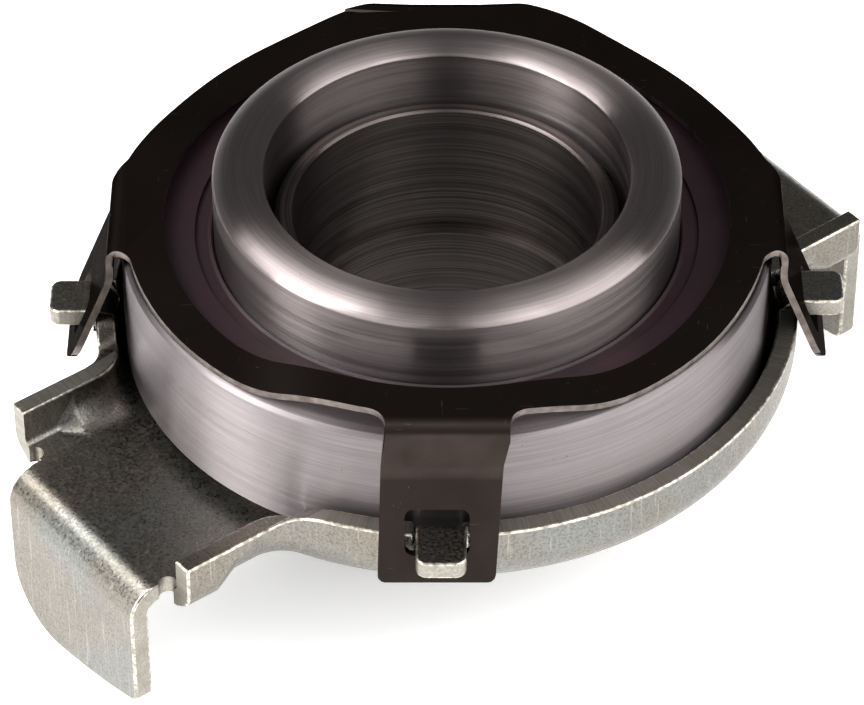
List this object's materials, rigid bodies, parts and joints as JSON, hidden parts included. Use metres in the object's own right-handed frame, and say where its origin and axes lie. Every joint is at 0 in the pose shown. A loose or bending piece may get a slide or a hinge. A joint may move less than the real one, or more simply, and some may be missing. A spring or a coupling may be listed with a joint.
{
  "type": "clutch release bearing",
  "caption": "Self-centring clutch release bearing: a sealed ball bearing held by a waved spring clip on a pressed two-winged carrier with a turned guide sleeve.",
  "frame": {"origin": "on the bearing axis, at the lower end of the guide sleeve", "axes": "+Z along the bearing axis towards the clutch; the four legs of the clip and the four tabs of the carrier point along +X, +Y, -X and -Y; the two fork wings lie on a line turned 37.5 degrees from +X towards +Y"},
  "size_m": [0.0941, 0.0862, 0.0443],
  "materials": {
    "zinc_plated_sheet_steel": "satin zinc plate, faintly yellow, grainy on the cut edges",
    "oiled_turned_steel": "dark oiled steel with fine turning marks",
    "hardened_washer_steel": "hardened flat washer, lightly oiled",
    "blackened_spring_steel": "satin blackened spring strip with fine scratches",
    "ground_bearing_steel": "ground, grain round the ring",
    "ground_nose_steel": "ground and lightly oiled, grain round the nose",
    "polished_ball_steel": "polished",
    "filled_nylon": "matt natural glass-filled nylon",
    "moulded_seal_rubber": "matt dark brown moulded rubber"
  },
  "bodies": {
    "carrier": {"carrier_plate": "zinc_plated_sheet_steel", "guide_sleeve": "oiled_turned_steel", "seat_washer": "hardened_washer_steel", "retaining_clip": "blackened_spring_steel"},
    "bearing_outer": {"outer_ring": "ground_bearing_steel", "front_seal": "moulded_seal_rubber", "rear_seal": "moulded_seal_rubber"},
    "bearing_inner": {"inner_ring": "ground_nose_steel"},
    "cage_and_balls": {"ball_cage": "filled_nylon", "ball_01": "polished_ball_steel", "ball_02": "polished_ball_steel", "ball_03": "polished_ball_steel", "ball_04": "polished_ball_steel", "ball_05": "polished_ball_steel", "ball_06": "polished_ball_steel", "ball_07": "polished_ball_steel", "ball_08": "polished_ball_steel", "ball_09": "polished_ball_steel", "ball_10": "polished_ball_steel", "ball_11": "polished_ball_steel", "ball_12": "polished_ball_steel", "ball_13": "polished_ball_steel", "ball_14": "polished_ball_steel", "ball_15": "polished_ball_steel"}
  },
  "joints": [
    {"name": "self_centring_float", "type": "slide", "parent": "carrier", "child": "bearing_outer", "axis": [1, 0, 0], "range_m": [-0.0004, 0.0004]},
    {"name": "inner_ring_spin", "type": "hinge", "parent": "bearing_outer", "child": "bearing_inner", "pos_m": [0, 0, 0.02888], "axis": [0, 0, 1], "continuous": true},
    {"name": "cage_spin", "type": "hinge", "parent": "bearing_outer", "child": "cage_and_balls", "pos_m": [0, 0, 0.02888], "axis": [0, 0, 1], "continuous": true}
  ],
  "couplings": [
    {"joint": "cage_spin", "follows": "inner_ring_spin", "ratio": 0.4276}
  ]
}
